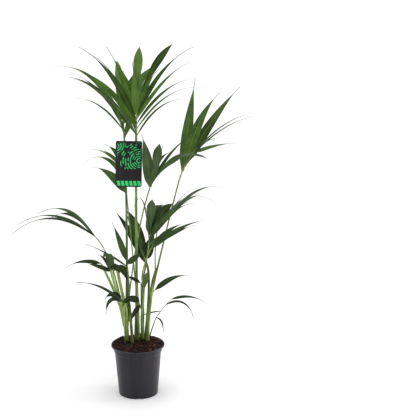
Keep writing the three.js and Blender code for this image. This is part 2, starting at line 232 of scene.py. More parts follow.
bpy.ops.object.light_add(type="AREA", location=SIDE, rotation=look_at(SIDE, (0, 0, 0.1)))
side_box = bpy.context.object
side_box.name = "soft box on the right"
side_box.data.shape = "RECTANGLE"
side_box.data.size = 0.3
side_box.data.size_y = 0.5
side_box.data.energy = SIDE_WATTS
print("floor and light are set")

# %% [markdown]
# ## The pot
# A nursery pot is moulded from thin plastic: a slightly conical wall, a stepped collar that grows
# the grip, a thin flared lip and drain notches in the foot. It could be spun from a profile. Here a
# disc is extruded and scaled ring by ring, up the outside, over the lip and down the inside, which
# is how a turned form is most easily built by hand.

# %% Profile of the wall
FOOT_RADIUS = 65.7
WALL_TOP_RADIUS = 78.3
COLLAR_RADIUS = 80.8
RIM_RADIUS = 90.0
POT_HEIGHT = 175.0
COLLAR_FOOT = 150.0
BEAD = 1.7
WALL = 2.2
FLOOR = 3.0
FOOT_ROUNDING = 2.4
DISC_INSET = 2.0
POT_SIDES = 96
UPWARD = 0.9


def wall_radius(z):
    return FOOT_RADIUS + (WALL_TOP_RADIUS - FOOT_RADIUS) * z / COLLAR_FOOT


def arc(radius, z, size, start, stop, steps):
    """Points round a fillet of `size` about (radius, z), by angle in degrees."""
    turns = np.radians(np.linspace(start, stop, steps))
    return [(radius + size * math.cos(t), z + size * math.sin(t)) for t in turns]


outside = arc(wall_radius(2.5) - FOOT_ROUNDING, 2.5, FOOT_ROUNDING, -70, 0, 5)
outside += [(wall_radius(z), z) for z in (20, 60, 100, 140)]
outside += [(wall_radius(149.2), 149.2), (wall_radius(150) + 0.2, 149.9)]
outside += [(COLLAR_RADIUS - 1.1, 150.9), (COLLAR_RADIUS - 0.3, 151.8), (COLLAR_RADIUS, 153.0)]
outside += [(COLLAR_RADIUS, 158.0), (COLLAR_RADIUS, 164.0), (COLLAR_RADIUS + 0.9, 165.4)]
outside += [(RIM_RADIUS - 2.4, 167.8), (RIM_RADIUS - 0.8, 168.6), (RIM_RADIUS - 0.1, 169.8)]
lip = arc(RIM_RADIUS - BEAD, POT_HEIGHT - BEAD, BEAD, 0, 180, 9)
inside = [(RIM_RADIUS - 2 * BEAD, 171.4), (RIM_RADIUS - 2 * BEAD - 1.2, 169.9)]
inside += [(COLLAR_RADIUS - 1, 166.8)]
inside += [(COLLAR_RADIUS - WALL, 165.4), (COLLAR_RADIUS - WALL, 153)]
inside += [(wall_radius(149) - WALL, 149.6)]
inside += [(wall_radius(z) - WALL, z) for z in (140, 100, 60, 20, 5)]
inside += [(wall_radius(FLOOR) - WALL - 2, FLOOR)]

# %% The pot itself
bpy.ops.object.select_all(action="DESELECT")
radius, height = outside[0][0] - DISC_INSET, outside[0][1]
bpy.ops.mesh.primitive_cylinder_add(
    vertices=POT_SIDES, radius=radius * MM, depth=height * MM, location=(0, 0, height * MM / 2))
pot = bpy.context.object
pot.name = "pot_wall"
bpy.ops.object.transform_apply(location=True, rotation=True, scale=True)
bpy.ops.object.mode_set(mode="EDIT")
bpy.ops.mesh.select_mode(type="FACE")
bpy.ops.mesh.select_all(action="DESELECT")
bpy.ops.object.mode_set(mode="OBJECT")
for face in pot.data.polygons:
    face.select = face.normal.z > UPWARD
bpy.ops.object.mode_set(mode="EDIT")
for next_radius, next_height in outside + lip + inside:
    rise = (0, 0, (next_height - height) * MM)
    bpy.ops.mesh.extrude_region_move(TRANSFORM_OT_translate={"value": rise})
    scale = next_radius / radius
    bpy.ops.transform.resize(value=(scale, scale, 1), center_override=(0, 0, next_height * MM))
    radius, height = next_radius, next_height
bpy.ops.object.mode_set(mode="OBJECT")
print("pot rings:", len(outside + lip + inside))

# %% [markdown]
# Water has to get out of the foot. Four rounded blocks are cut from its edge and a shallow disc from
# the middle of its underside, so that the pot stands on a ring.

# %% Drain notches and the hollow underneath
NOTCHES = 4
NOTCH_SIZE = (24, 20, 16)
NOTCH_ROUNDING = 4
HOLLOW_RADIUS = 50
HOLLOW_DEPTH = 2.4
bpy.ops.object.select_all(action="DESELECT")
cutters = []
for number in range(NOTCHES):
    turn = -math.pi / 2 + 2 * math.pi * number / NOTCHES
    spot = (FOOT_RADIUS * MM * math.cos(turn), FOOT_RADIUS * MM * math.sin(turn), 0)
    bpy.ops.mesh.primitive_cube_add(size=1, location=spot, rotation=(0, 0, turn))
    cutter = bpy.context.object
    cutter.scale = [side * MM for side in NOTCH_SIZE]
    bpy.ops.object.transform_apply(location=True, rotation=True, scale=True)
    bpy.ops.object.mode_set(mode="EDIT")
    bpy.ops.mesh.bevel(offset=NOTCH_ROUNDING * MM, segments=4, affect="EDGES")
    bpy.ops.object.mode_set(mode="OBJECT")
    cutters.append(cutter)
bpy.ops.mesh.primitive_cylinder_add(
    vertices=POT_SIDES, radius=HOLLOW_RADIUS * MM, depth=HOLLOW_DEPTH * MM, location=(0, 0, 0))
cutters.append(bpy.context.object)
bpy.ops.object.select_all(action="DESELECT")
for cutter in cutters:
    cutter.select_set(True)
bpy.context.view_layer.objects.active = cutters[0]
bpy.ops.object.join()
bpy.ops.object.select_all(action="DESELECT")
pot.select_set(True)
bpy.context.view_layer.objects.active = pot
cut = pot.modifiers.new("drains", "BOOLEAN")
cut.operation = "DIFFERENCE"
cut.object = cutters[0]
bpy.ops.object.modifier_apply(modifier=cut.name)
bpy.data.objects.remove(cutters[0])
bpy.ops.object.shade_smooth_by_angle(angle=math.radians(38))
print("pot faces:", len(pot.data.polygons))

# %% [markdown]
# Recycled plastic is not quite black. It is a charcoal with a touch of purple and a soft sheen.
# Broad upright bands of painted reflection run round its wall, the lip is painted lighter as a
# highlight, and there is a trace of dried soil near the foot.

# %% Pot plastic
pot_look, wire, shader = start_material("recycled plastic", roughness=0.4, Specular_IOR_Level=0.3)
where = place(wire)
height_wire = where.node("SeparateXYZ", {}, {0: where}, out=2)
# Upright bands of painted reflection, lighter and darker round the wall.
painted_reflection_bands = noise(stretched(where, 1, 1, 0.02), 34, 2)
wall = painted_reflection_bands.ramp(0.3, 0.7).between(srgb(21, 19, 23), srgb(37, 34, 41))
# The top of the lip is painted a paler blue-grey as a highlight.
base = (0.7 * height_wire.ramp(0.1725, 0.1745)).between(wall, srgb(74, 74, 86))
dust = noise(where, 220, 3, 0.7).ramp(0.55, 0.75) * (1 - height_wire.ramp(0.0, 0.03))
feed((dust * 0.4).between(base, srgb(72, 62, 54)), shader, "Base Color")
feed(0.3 + 0.14 * noise(where, 35, 3), shader, "Roughness")
bands = noise(stretched(where, 0.02, 0.02, 1), 420, 2)
bump(noise(where, 900, 2) * 0.3 + bands, shader, 0.12, 0.0006)
pot.data.materials.append(pot_look)
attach(pot, "root")
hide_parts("pot")

# %% [markdown]
# ## The potting mix
# The mix is a body of dark peat, with chips of bark lying on top in every direction. The body is a
# cone whose top is inset and roughened. The chips are one small wedge, turned, sized and dropped
# many times, and kept as arrays, because thousands of separate objects would be slow.

# %% Body of the mix
SOIL_TOP = 178.0
SOIL_WAIST = COLLAR_RADIUS - WALL - 0.8
SOIL_EDGE = RIM_RADIUS - 2 * BEAD - 0.9
SOIL_GAP = 0.6
HEAP = [1.8, 1.4, 0.9, 0.4] + [0] * 15
ROUGHNESS = 0.9
radius, height = wall_radius(4) - WALL - SOIL_GAP, 7.4
bpy.ops.object.select_all(action="DESELECT")
bpy.ops.mesh.primitive_cylinder_add(
    vertices=72, radius=radius * MM, depth=4 * MM, location=(0, 0, 5.4 * MM))
mix = bpy.context.object
mix.name = "potting_mix"
bpy.ops.object.transform_apply(location=True, rotation=True, scale=True)
for face in mix.data.polygons:
    face.select = face.normal.z > UPWARD
bpy.ops.object.mode_set(mode="EDIT")
body = [(wall_radius(149) - WALL - SOIL_GAP, 149), (SOIL_WAIST, 154), (SOIL_WAIST, 166)]
body += [(SOIL_EDGE, 171.5), (SOIL_EDGE, 173)]
for next_radius, next_height in body:
    rise = (0, 0, (next_height - height) * MM)
    bpy.ops.mesh.extrude_region_move(TRANSFORM_OT_translate={"value": rise})
    scale = next_radius / radius
    bpy.ops.transform.resize(value=(scale, scale, 1), center_override=(0, 0, next_height * MM))
    radius, height = next_radius, next_height
for rise in HEAP:
    bpy.ops.mesh.inset(thickness=4 * MM)
    bpy.ops.transform.translate(value=(0, 0, rise * MM))
bpy.ops.object.mode_set(mode="OBJECT")
bumps = rng.normal(size=len(mix.data.vertices))
for vertex, lift in zip(mix.data.vertices, bumps):
    if vertex.co.z > (SOIL_TOP - 4) * MM:
        vertex.co.z += ROUGHNESS * MM * lift
bpy.ops.object.shade_smooth_by_angle(angle=math.radians(60))
print("mix faces:", len(mix.data.polygons))

# %% [markdown]
# Chips, canes, petioles and leaflets are all the same kind of skin: rings of points, joined by quads
# and closed at both ends. This class gathers any number of them, each with its finish and its place
# around and along, and makes one mesh of the lot.


# %% Arrays that become one mesh
class Skins:
    """Closed skins of rings, gathered as arrays and joined into one mesh."""

    def __init__(self):
        self.points, self.faces, self.looks, self.corners = [], [], [], []
        self.count = 0

    def add(self, rings, looks=0, around=None, along=None):
        rows, sides = rings.shape[:2]
        index = self.count + np.arange(rows * sides).reshape(rows, sides)
        onward = np.roll(index, -1, axis=1)
        quads = np.stack([index[:-1], onward[:-1], onward[1:], index[1:]], axis=-1)
        self.points.append(rings.reshape(-1, 3))
        self.faces += quads.reshape(-1, 4).tolist() + [index[0][::-1].tolist(), index[-1].tolist()]
        looks = np.broadcast_to(looks, (rows - 1, sides))
        self.looks += looks.ravel().tolist() + [int(looks[0, 0]), int(looks[-1, -1])]
        around = np.linspace(0, 1, sides + 1) if around is None else around
        along = np.linspace(0, 1, rows) if along is None else along
        left, right = around[:-1], around[1:]
        corners = np.zeros((rows - 1, sides, 4, 2))
        for corner, (u, row) in enumerate([(left, 0), (right, 0), (right, 1), (left, 1)]):
            corners[:, :, corner, 0] = u[None, :]
            corners[:, :, corner, 1] = along[row:rows - 1 + row, None]
        self.corners += [corners.reshape(-1, 2), np.tile([0.5, along[0]], (sides, 1)),
                         np.tile([0.5, along[-1]], (sides, 1))]
        self.count += rows * sides

    def mesh(self, name, materials):
        data = bpy.data.meshes.new(name)
        data.from_pydata((np.concatenate(self.points) * MM).tolist(), [], self.faces)
        for material in materials:
            data.materials.append(material)
        data.polygons.foreach_set("material_index", self.looks)
        data.uv_layers.new(name="UVMap").data.foreach_set("uv", np.concatenate(self.corners).ravel())
        data.update()
        made = bpy.data.objects.new(name, data)
        bpy.context.scene.collection.objects.link(made)
        bpy.ops.object.select_all(action="DESELECT")
        made.select_set(True)
        bpy.context.view_layer.objects.active = made
        bpy.ops.object.shade_smooth_by_angle(angle=math.radians(50))
        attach(made, "root")
        print(f"{name}: {len(data.polygons)} faces")
        return made


# %% Bark chips
def smooth(low, high, value):
    t = np.clip((value - low) / (high - low), 0, 1)
    return t * t * (3 - 2 * t)


def chip(centre, length, width, height, turn, tilt):
    """A wedge of bark: three rings of four corners, wider in the middle."""
    along = np.array([-0.5, rng.uniform(-0.15, 0.15), 0.5]) * length
    swell = np.array([0.55, 1.0, rng.uniform(0.3, 0.7)])
    square = np.array([[1, 1], [-1, 1], [-1, -1], [1, -1]]) * 0.5
    rings = np.zeros((3, 4, 3))
    rings[..., 0] = along[:, None]
    rings[..., 1] = square[None, :, 0] * swell[:, None] * width
    rings[..., 2] = square[None, :, 1] * swell[:, None] * height
    rings += rng.normal(scale=0.35, size=rings.shape)
    c, s = math.cos(tilt), math.sin(tilt)
    rings = rings @ np.array([[c, 0, s], [0, 1, 0], [-s, 0, c]])
    c, s = math.cos(turn), math.sin(turn)
    return rings @ np.array([[c, s, 0], [-s, c, 0], [0, 0, 1]]) + centre


chips = Skins()
CHIPS = 2600
CHIP_LENGTH = 6.4
# The shares of dark, red, brown and tan chips.
BARK_SHARES = [0.5, 0.29, 0.17, 0.04]
for _ in range(CHIPS):
    out = (SOIL_EDGE - 3) * math.sqrt(rng.uniform())
    turn = rng.uniform(0, 2 * math.pi)
    edge = 4.4 * smooth(66, 86, out)
    height = SOIL_TOP - 0.4 - edge + rng.uniform(-1.2, 2.2)
    centre = np.array([out * math.cos(turn), out * math.sin(turn), height])
    size = rng.lognormal(math.log(CHIP_LENGTH), 0.4)
    shape = chip(centre, size, size * rng.uniform(0.35, 0.8), size * rng.uniform(0.25, 0.5),
                 rng.uniform(0, 2 * math.pi), rng.normal(scale=0.6))
    chips.add(shape, looks=int(rng.choice(len(BARK_SHARES), p=BARK_SHARES)))


# %% [markdown]
# Bark is several browns at once: nearly black where it is wet, red-brown inside and grey-tan on the
# old outer side. A colour is dealt to each chip, and noise breaks it up.

# %% Bark and peat
def bark(name, dark, light):
    material, wire, shader = start_material(name, roughness=0.85, Specular_IOR_Level=0.25)
    where = place(wire)
    grain = noise(where, 500, 4, 0.6)
    feed(grain.ramp(0.35, 0.65).between(dark, light), shader, "Base Color")
    bump(grain, shader, 0.6, 0.001)
    return material


peat = bark("wet peat", srgb(9, 5, 4), srgb(22, 12, 9))
BARKS = [
    bark("dark bark", srgb(18, 8, 7), srgb(34, 17, 13)),
    bark("red bark", srgb(44, 14, 10), srgb(86, 34, 24)),
    bark("brown bark", srgb(28, 16, 11), srgb(50, 31, 21)),
    bark("tan bark", srgb(72, 46, 33), srgb(104, 74, 55)),
]
mix.data.materials.append(peat)
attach(mix, "root")
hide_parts("soil")
chips.mesh("bark_chips", BARKS)

# %% [markdown]
# ## How the palm grows
# Every rachis and leaflet follows one rule: it sets off in a direction and bends down under
# its own weight, in proportion to how far it already leans and how far along it is. An upright
# blade stays upright, and a leaning one arches over. Lengths are in millimetres, angles in degrees.

# %% Directions and courses
UP = np.array([0.0, 0.0, 1.0])
TIP_HEAVY = 1.35


def unit(vectors):
    return vectors / np.linalg.norm(vectors, axis=-1, keepdims=True)


def aim(lean, toward):
    lean, toward = math.radians(lean), math.radians(toward)
    out = math.sin(lean)
    return np.array([out * math.cos(toward), out * math.sin(toward), math.cos(lean)])


def bend(direction, droop, u):
    lean = math.acos(max(-1.0, min(1.0, direction[2])))
    bent = 2 * np.arctan(math.tan(lean / 2) * np.exp(droop * u ** TIP_HEAVY))
    flat = unit(direction * [1, 1, 0])
    return np.outer(np.sin(bent), flat) + np.outer(np.cos(bent), UP)


def course(start, direction, length, droop, steps):
    """Points along a drooping blade and the directions there."""
    midway = bend(direction, droop, (np.arange(steps) + 0.5) / steps)
    points = start + np.vstack([np.zeros(3), np.cumsum(midway, axis=0) * length / steps])
    return points, bend(direction, droop, np.arange(steps + 1) / steps)


def quadratic(first, control, last, t):
    t = np.asarray(t)[:, None]
    return first * (1 - t) ** 2 + 2 * control * t * (1 - t) + last * t ** 2


# %% [markdown]
# These tables hold the plant: where each cane stands and forks, and for each frond where its
# petiole starts and ends, how its rachis leans, which way its blade faces, and its leaflets from
# foot to tip with their angle off the rachis, length, width and droop. A few leaflets are blunt,
# with their greatest width near the tip.

# %% Canes and fronds
STEMS = {
    "left": dict(root=(-37, 12), fork=(-48, 8, 306), radii=(6.2, 11.6)),
    "left_inner": dict(root=(-19, -8), fork=(-32, 31, 324), radii=(3.8, 6.2)),
    "middle": dict(root=(-2, 33), fork=(1, 28, 341), radii=(9.1, 7.6)),
    "right_inner": dict(root=(16, 36), fork=(19, 30, 369), radii=(5, 7)),
    "right": dict(root=(32, 15), fork=(65, 32, 425), radii=(6.4, 7.6)),
}


def frond(foot, rachis, tint, fan, reach, width, droop,
          stem=None, seat=None, root=None, stalk=None, spring=0.4, tail=0, blunt=(), light=None):
    length, lean, toward, face, fold = rachis
    return dict(foot=foot, length=length, lean=lean, toward=toward, face=face, fold=fold, tint=tint,
                fan=fan, reach=reach, width=width, droop=droop, stem=stem, seat=seat, root=root,
                stalk=stalk, spring=spring, tail=tail, blunt=blunt, light=light)


FRONDS = {
    "top_front": frond(
        (4, -20, 886), (112, 7, -82, -90, -24), tint="fresh",
        stem="middle", seat=(-2, -4.5), stalk=(4.6, 3.8), blunt=(12, 13), tail=0.2, spring=0.5,
        fan=(29, -30, -16, 31, -31, 30, -24, 28, 24, -3, -20, 19, 20, 1),
        reach=(266, 364, 295, 345, 315, 350, 320, 340, 308, 213, 236, 187, 242, 224),
        width=(6, 17, 15, 6, 18, 9, 19, 11, 15, 25, 27, 20, 22, 28),
        droop=(1.7, 0.85, 1.45, 1.05, 1.1, 1, 1.1, 0.7, 1.1, 1.15, 0.6, 0.65, 0.9, 1.1)),
    "top_back": frond(
        (-35, 60, 866), (125, 12, 101, -60, 30), tint="green",
        stem="left_inner", seat=(-2.6, 1.4), stalk=(4.4, 3), tail=0.2, spring=0.32,
        fan=(44, -15, -29, -23, 48, -35, -31, 39, 7, 31, 18),
        reach=(391, 160, 275, 388, 193, 238, 319, 289, 270, 171, 123),
        width=(20, 6, 8, 22, 24, 17, 18, 34, 35, 22, 14),
        droop=(0.2, 1.55, 1.65, 2.4, 0.6, 0.85, 1.4, 0.85, 2, 0.55, 0.55)),
    "right_tall": frond(
        (155, 80, 749), (92, 29, 18, -95, 26), tint="green",
        stem="right", seat=(3, 1), stalk=(2.9, 2.2), tail=0.1, spring=0.08,
        fan=(-21, -14, 3, 12, 21, 46, 28), reach=(333, 280, 324, 299, 295, 162, 136),
        width=(36, 33, 30, 5, 5, 24, 5), droop=(0.25, 1.25, 0.45, 1.05, 0.7, 0.45, 1)),
    "middle": frond(
        (46, -60, 730), (25, 22, -37, -90, -28), tint="old",
        stem="left_inner", seat=(3.6, 4.6), stalk=(2.4, 2.1), blunt=(1, 5), tail=0.12, spring=0.32,
        fan=(-24, 10, 9, -5, -7, -10), reach=(218, 299, 226, 159, 150, 162),
        width=(35, 29, 10, 19, 12, 28), droop=(1.25, 1.35, 0.85, 0.25, 2.15, 0.25)),
    "behind_tag": frond(
        (-30, 75, 678), (100, 5, 150, -90, 30), tint="green",
        stem="middle", seat=(-2.5, 4), stalk=(2.4, 1.8), tail=0.2, spring=0.16,
        fan=(-36, -15, 35, -21, -41, -24), reach=(189, 227, 89, 151, 191, 99),
        width=(30, 15, 14, 12, 9, 20), droop=(1.2, 3.4, 1.15, 1.9, 1.25, 1.3)),
    "centre": frond(
        (40, -70, 541), (40, 7, -16, -90, -5), tint="old",
        stem="right_inner", seat=(-3.5, -2), stalk=(3.2, 2.1), blunt=(2, 5), tail=0.15, spring=0.3,
        fan=(58, -10, 11, 24, -1, -5), reach=(167, 280, 145, 205, 171, 133),
        width=(26, 5, 27, 23, 36, 29), droop=(0.2, 2.95, 1.45, 1, 4.35, 1.2)),
    "centre_low": frond(
        (44, -115, 537), (20, 24, -6, -100, 0), tint="old",
        stem="right_inner", seat=(3.8, -2.6), stalk=(3.2, 1.6), spring=0.44,
        fan=(24, 16), reach=(198, 129), width=(17, 15), droop=(0.65, 0.65)),
    "right_spray": frond(
        (81, -26, 606), (60, 38, 0, 180, 0), tint="old",
        stem="right", seat=(-3, -1), stalk=(2.2, 1.8), tail=0.3, spring=0.2,
        fan=(-47, 23, 20, 29, -21), reach=(346, 208, 104, 189, 231), width=(35, 7, 8, 16, 30),
        droop=(1.2, 1.35, 0.35, 0.7, 1.35)),
    "core": frond(
        (35, 70, 430), (50, 20, 155, -90, 25), tint="old",
        root=(25, 44), stalk=(3.9, 4.1), spring=0.18,
        fan=(-8, 36, 7, 2), reach=(207, 92, 182, 138),
        width=(27, 36, 35, 27), droop=(0.5, 0.7, 1.3, 0.5)),
    "core_left": frond(
        (-30, -50, 458), (25, 5, 182, -90, -10), tint="old",
        stem="left_inner", seat=(3.8, -3.6), stalk=(2.8, 2.2), tail=0.12, spring=0.4,
        fan=(-48, 52, -13), reach=(158, 75, 138), width=(7, 20, 20), droop=(0.35, 0.25, 0.25)),
    "left_arch": frond(
        (-131, 30, 538), (16, 38, 187, 6, 0), tint="old",
        stem="left", seat=(-4, 7.4), stalk=(2.8, 1.9), light=-90, tail=0.25, spring=0.34,
        fan=(4, -6, -14, 6), reach=(284, 244, 318, 190),
        width=(14, 26, 14, 28), droop=(1.5, 1.85, 1.5, 2.3)),
    "left_low": frond(
        (-113, -20, 456), (12, 25, 179, -90, 0), tint="old",
        stem="left", seat=(-8, 0), stalk=(5.2, 3.7), light=-90, tail=0.18,
        fan=(-49,), reach=(120,), width=(15,), droop=(0.95,)),
    "left_droop": frond(
        (-82, -60, 444), (15, 16, -118, -90, 0), tint="old",
        stem="left", seat=(0, -8), stalk=(4.6, 4.8), light=-90, spring=0.24,
        fan=(-11, -49, 5, 39), reach=(79, 86, 110, 49),
        width=(12, 14, 25, 26), droop=(1.2, 0.25, 4.35, 3.3)),
    "left_pale": frond(
        (-65, 12, 433), (12, 10, 178, -90, 0), tint="old",
        stem="left", seat=(8, -2), stalk=(4.9, 5.1), light=-90, spring=0.54,
        fan=(105,), reach=(70,), width=(26,), droop=(3.4,)),
    "left_sprig": frond(
        (-44, -54, 338), (15, 40, 189, -90, 0), tint="old",
        root=(-43, -2), stalk=(2.2, 1.5), light=-90, tail=0.15, spring=0.08,
        fan=(-5, -3, 8), reach=(104, 182, 72), width=(16, 9, 22), droop=(4.8, 0.85, 3.1)),
    "low_arch": frond(
        (10, -18, 314), (14, 14, 166, -90, 0), tint="old",
        root=(5, 18), stalk=(2.4, 1.5), light=-90, tail=0.1,
        fan=(-126, -29), reach=(74, 80), width=(17, 23), droop=(1, 3.15)),
    "sprout": frond(
        (62, 50, 246), (90, 32, -11, -125, 0), tint="old",
        root=(39, 48), stalk=(2.1, 1.4), light=-90, tail=0.12, spring=0.08,
        fan=(65, -132, 22, 36), reach=(62, 97, 129, 136),
        width=(6, 5, 8, 10), droop=(4.7, 0.55, 2.85, 0.85)),
    "leaf_right": frond(
        (56.6, 26.9, 352), (6, 42, 2, -90, 0), tint="old", tail=0.1,
        fan=(5,), reach=(140,), width=(19,), droop=(1.1,)),
    "leaf_core": frond(
        (13, 0, 382), (8, 10, 185, -90, 0), tint="old",
        root=(11, 20), stalk=(2, 1.4), tail=0.1, spring=0.52,
        fan=(-40,), reach=(78,), width=(13,), droop=(1.1,)),
    "young_spear": frond(
        (20, -77, 372), (10, 14, -69, -90, 0), tint="old",
        root=(21, 20), stalk=(2.4, 2.1), blunt=(0,), spring=0.5,
        fan=(3,), reach=(80,), width=(19,), droop=(0.3,)),
}
print("fronds:", len(FRONDS), "leaflets:", sum(len(f["fan"]) for f in FRONDS.values()))

# %% [markdown]
# ## Canes
# A young kentia has no woody trunk yet. What looks like one is a roll of leaf sheaths, each closed
# round the next and ending in a slanting mouth. So a cane is a tube whose radius steps in where an
# older sheath ends, with a swollen foot, and whose top opens obliquely round the petioles.

# %% Tubes
def turns_round(sides):
    return 2 * np.pi * np.arange(sides) / sides


def tube(points, toward, radii):
    """Rings round a course, with a radius for each corner of each ring."""
    along = unit(np.gradient(points, axis=0))
    side = unit(np.cross(along, toward))
    front = np.cross(side, along)
    angles = turns_round(radii.shape[1])
    across = np.cos(angles)[None, :, None] * side[:, None, :]
    outward = -np.sin(angles)[None, :, None] * front[:, None, :]
    return points[:, None, :] + radii[..., None] * (across + outward)


def stem_point(stem, z):
    """The middle of a cane at the height z, below its fork."""
    low = np.array([*stem["root"], SOIL_TOP + 0.3])
    fork = np.array(stem["fork"], float)
    rise = np.array([low[0], low[1], (low[2] + fork[2]) / 2])
    t = (z - low[2]) / (fork[2] - low[2])
    return quadratic(low, rise, fork, np.atleast_1d(t))


# %% Rolled sheaths
SUNK = 9
RING_STEP = 2.5
CANE_SIDES = 24
FOOT_SWELL = 0.6
SHEATH_MARGINS = (0.16, 0.34, 0.55, 0.78)
SHEATH_STEP = 0.55
TOWARD_VIEWER = np.array([0, -1.0, 0])
# A cane's texture coordinate counts its length in tenths of a metre.
LENGTH_UNIT = 100
# Which finish each cane has: 0 pale, 1 middling, 2 deep.
CANE_TONES = {"left": 0, "left_inner": 2, "middle": 1, "right_inner": 2, "right": 1}
canes = Skins()
for name, stem in STEMS.items():
    fork_height = stem["fork"][2]
    heights = np.arange(SOIL_TOP - SUNK, fork_height + 0.1, RING_STEP)
    middle = stem_point(stem, heights)
    share = np.clip((heights - SOIL_TOP) / (fork_height - SOIL_TOP), 0, 1)
    angles = turns_round(CANE_SIDES)
    low, high = stem["radii"]
    radii = (low + (high - low) * share)[:, None] * np.ones((1, CANE_SIDES))
    radii += FOOT_SWELL * np.exp(-np.maximum(heights - SOIL_TOP, 0) / 9)[:, None]
    for margin in SHEATH_MARGINS:
        turn = rng.uniform(0, 2 * np.pi)
        slant = margin + 0.10 * np.cos(angles - turn)[None, :]
        radii += SHEATH_STEP * (smooth(-0.012, 0.012, slant - share[:, None]) - 0.5)
    radii *= 1 + 0.018 * np.cos(9 * angles + rng.uniform(0, 6))[None, :]
    radii *= 1 - 0.42 * smooth(0.86, 1.0, share)[:, None]
    rings = tube(middle, TOWARD_VIEWER, radii)
    mouth = smooth(0.8, 1.0, share)[:, None] * np.cos(angles - rng.uniform(0, 6))[None, :]
    rings[..., 2] += 7 * mouth
    canes.add(rings, looks=CANE_TONES[name], along=heights / LENGTH_UNIT)

# %% [markdown]
# ## Petioles
# A petiole is a little swollen where it leaves its sheath and narrows into a slim stalk, with a
# shallow channel on one side. It goes on into the rachis, the rib that carries the leaflets, so both
# are one tube.

# %% Petioles and rachises
RACHIS_DROOP = 0.35
RACHIS_STEPS = 10
SINK = 70
PETIOLE_SIDES = 12
# The radii of the one short stalk that has no solid of its own.
SEATED_STALK = (1.6, 1.6)


def spine_of(leaf):
    """The points of a rachis, from its foot to its tip."""
    foot = np.array(leaf["foot"], float)
    line = aim(leaf["lean"], leaf["toward"])
    return course(foot, line, leaf["length"], RACHIS_DROOP, RACHIS_STEPS)[0]


def petiole_course(leaf):
    """The points from inside the sheath, or in the mix, up to the foot of the rachis."""
    foot = np.array(leaf["foot"], float)
    line = aim(leaf["lean"], leaf["toward"])
    if leaf["root"]:
        base = np.array([*leaf["root"], SOIL_TOP])
        below = base + np.outer([-SUNK, -SUNK / 2], UP)
    elif leaf["stem"]:
        stem = STEMS[leaf["stem"]]
        fork = np.array(stem["fork"], float)
        seat = np.array([*leaf["seat"], 0.0])
        base = fork + seat
        depth = np.linspace(SINK, 0, 12, endpoint=False)
        below = stem_point(stem, fork[2] - depth) + np.outer(1 - 0.45 * depth / SINK, seat)
    else:
        # This leaf springs straight from the right-hand cane.
        inside = stem_point(STEMS["right"], np.array([300.0, 312.0, 324.0]))
        below, base = inside[:2], inside[2]
    span = np.linalg.norm(foot - base)
    steps = max(int(span / 9), 4)
    control = foot - leaf["spring"] * span * line
    return below, quadratic(base, control, foot, np.linspace(0, 1, steps, endpoint=False))


PALE_PETIOLES = ("left_low", "left_droop", "left_pale")
DEEP_PETIOLES = ("top_back", "core", "core_left", "low_arch", "leaf_core", "centre", "sprout",
                 "left_sprig")
PETIOLE_TONES = {**dict.fromkeys(PALE_PETIOLES, 0), **dict.fromkeys(DEEP_PETIOLES, 2)}
petioles = Skins()
for name, leaf in FRONDS.items():
    below, above = petiole_course(leaf)
    points = np.vstack([below, above, spine_of(leaf)])
    strides = np.linalg.norm(np.diff(points, axis=0), axis=1)
    travelled = np.concatenate([[0], np.cumsum(strides)])
    start = travelled[len(below)]
    end = travelled[len(below) + len(above)]
    first, last = leaf["stalk"] or SEATED_STALK
    share = np.clip((travelled - start) / (end - start), 0, 1)
    radii = first + (last - first) * share
    radii *= 1 - 0.55 * np.clip((travelled - end) / leaf["length"], 0, 1)
    radii *= 1 + 0.22 * np.exp(-np.maximum(travelled - start, 0) / 38)
    look = aim(90, leaf["face"])
    angles = turns_round(PETIOLE_SIDES)
    channel = np.exp(-((np.cos(angles - 1.5 * np.pi) - 1) / 0.25) ** 2)
    rings = tube(points, look, radii[:, None] * (1 - 0.22 * channel[None, :]))
    petioles.add(rings, looks=PETIOLE_TONES.get(name, 1), along=travelled / LENGTH_UNIT)


# %% [markdown]
# Living green has no single colour. Canes and petioles are pale yellow-green, streaked along their
# length, and brown and fibrous where the old sheaths dry at the soil. Down both of their sides they
# are painted darker as shade.

# %% Cane and petiole finishes
def stalk_look(name, pale, deep, brown_top):
    material, wire, shader = start_material(name, roughness=0.45, Specular_IOR_Level=0.25)
    where = place(wire)
    z = where.node("SeparateXYZ", {}, {0: where}, out=2)
    fine = noise(stretched(where, 1, 1, 0.04), 420, 3, 0.6)
    streaks = 0.35 * fine + 0.65 * noise(stretched(where, 1, 1, 0.05), 170, 2)
    green = streaks.ramp(0.38, 0.62).between(deep, pale)
    blotch = noise(where, 26, 3)
    green = (blotch.ramp(0.5, 0.72) * 0.55).between(green, deep)
    fibres = noise(stretched(where, 1, 1, 0.06), 900, 3, 0.7)
    husk = fibres.between(srgb(56, 46, 24), srgb(108, 98, 54))
    around, _ = on_blade(wire)
    # Painted shade: two strips of each cane and petiole, at its left and right sides, are darkened.
    margin = ((around * 2).math("FRACT") - 0.5).size().ramp(0.3, 0.5)
    green = (margin * 0.6).between(green, tuple(0.35 * channel for channel in deep))
    stripes = noise(stretched(where, 1, 1, 0.03), 230, 2).ramp(0.58, 0.64)
    green = (stripes * 0.5).between(green, srgb(176, 190, 134))
    browned = (1 - (z + 0.03 * blotch).ramp(0.18, brown_top)) * fibres.ramp(0.3, 0.6)
    feed(browned.between(green, husk), shader, "Base Color")
    feed(0.38 + 0.3 * browned, shader, "Roughness")
    bump(streaks + fibres * 0.4, shader, 0.35, 0.0006)
    return material


